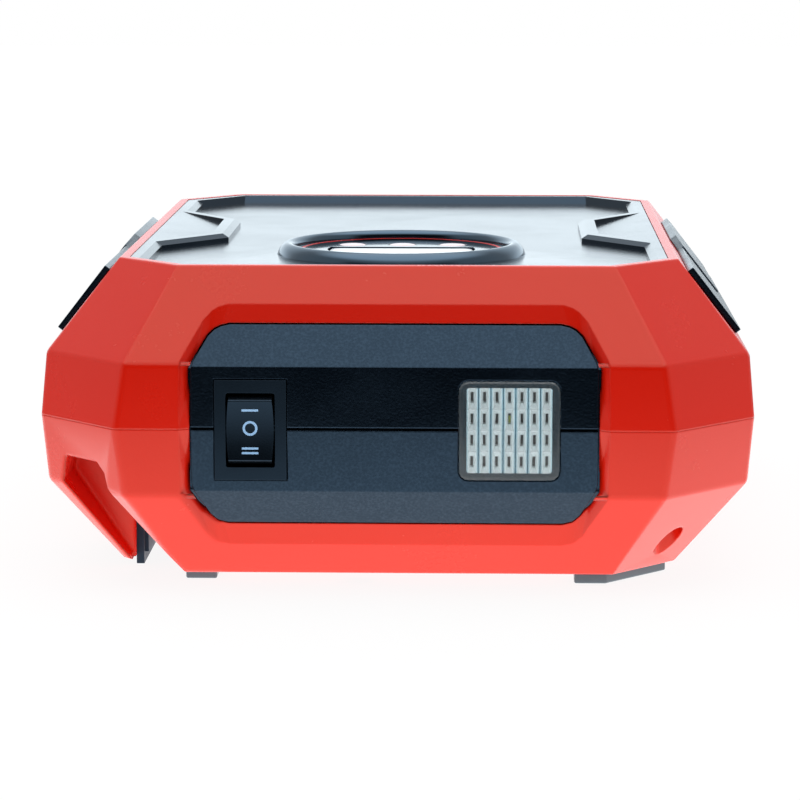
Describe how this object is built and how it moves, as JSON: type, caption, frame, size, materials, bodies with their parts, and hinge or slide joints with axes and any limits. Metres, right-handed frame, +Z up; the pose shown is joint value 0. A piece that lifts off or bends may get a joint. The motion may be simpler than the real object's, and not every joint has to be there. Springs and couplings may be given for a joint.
{
  "type": "jump starter pack",
  "caption": "Portable battery pack for starting a car: octagonal red casing, black panels, rocker switch, inset lamp, round start button and a covered lead socket.",
  "frame": {"origin": "on the surface the feet stand on, at the middle of the casing's outline", "axes": "+Z up, -Y towards the front panel with the switch and the lamp, +X to the right seen from the front"},
  "size_m": [0.152, 0.1966, 0.0698],
  "materials": {
    "casing_red": "moulded, fine spark-eroded grain, satin",
    "panel_black": "moulded, fine grain",
    "cover_black": "moulded, fine grain, satin",
    "trim_black": "gloss",
    "switch_black": "semi-gloss",
    "accent_red": "gloss",
    "lens_white": "translucent white, smooth",
    "button_white": "satin white",
    "lamp_clear": "clear, polished",
    "reflector_chrome": "vacuum-metallised",
    "led_yellow": "phosphor",
    "board_green": "solder resist",
    "rubber_black": "matt",
    "steel": "zinc plated",
    "brass": "bare",
    "cell_foil": "pouch foil",
    "sink_aluminium": "extruded",
    "tray_black": "moulded",
    "socket_blue": "moulded nylon",
    "chip_black": "moulded resin",
    "capacitor_sleeve": "shrink sleeve",
    "lead_red": "silicone insulation",
    "lead_black": "silicone insulation"
  },
  "bodies": {
    "pack": {"upper_casing": "casing_red", "lower_casing": "casing_red", "top_cover": "cover_black", "ring_bezel": "trim_black", "indicator_panel": "trim_black", "accent_ring": "accent_red", "indicator_lenses": "lens_white", "button_board": "board_green", "button_switch": "steel", "indicator_leds": "led_yellow", "front_panel_upper": "panel_black", "front_panel_lower": "panel_black", "rear_panel_upper": "panel_black", "rear_panel_lower": "panel_black", "rocker_housing": "switch_black", "switch_terminals": "brass", "lamp_cover": "lamp_clear", "lamp_reflector": "reflector_chrome", "lamp_leds": "led_yellow", "lamp_board": "board_green", "lamp_holder": "tray_black", "side_grip_right": "panel_black", "side_grip_left": "panel_black", "foot_front_right": "rubber_black", "foot_front_left": "rubber_black", "foot_rear_right": "rubber_black", "foot_rear_left": "rubber_black", "case_screws": "steel", "socket_housing": "socket_blue", "socket_contact_positive": "brass", "socket_contact_negative": "brass", "socket_cover_pin": "steel", "port_frame": "tray_black", "port_cover_pin": "steel", "usb_sockets": "steel", "charge_socket": "tray_black", "port_board": "board_green", "battery_cells": "cell_foil", "battery_tray": "tray_black", "battery_strap": "rubber_black", "main_board": "board_green", "board_screws": "steel", "heat_sink": "sink_aluminium", "power_switches": "chip_black", "capacitors": "capacitor_sleeve", "positive_bar": "brass", "negative_bar": "brass", "positive_lead": "lead_red", "negative_lead": "lead_black"},
    "start_button": {"start_button": "button_white"},
    "rocker": {"rocker": "switch_black"},
    "socket_cover": {"socket_cover": "rubber_black"},
    "port_cover": {"port_cover": "rubber_black"}
  },
  "joints": [
    {"name": "start_button_press", "type": "slide", "parent": "pack", "child": "start_button", "axis": [0, 0, -1], "range_m": [0, 0.001], "stiffness_N_per_m": 400},
    {"name": "rocker_tilt", "type": "hinge", "parent": "pack", "child": "rocker", "pos_m": [-0.0299, -0.0934, 0.0357], "axis": [1, 0, 0], "range_deg": [-10, 10]},
    {"name": "socket_cover_hinge", "type": "hinge", "parent": "pack", "child": "socket_cover", "pos_m": [-0.05642, -0.0509, 0.01646], "axis": [0, 1, 0], "range_deg": [-36.8, 70]},
    {"name": "port_cover_hinge", "type": "hinge", "parent": "pack", "child": "port_cover", "pos_m": [0, 0.0959, 0.0299], "axis": [-1, 0, 0], "range_deg": [0, 95]}
  ]
}
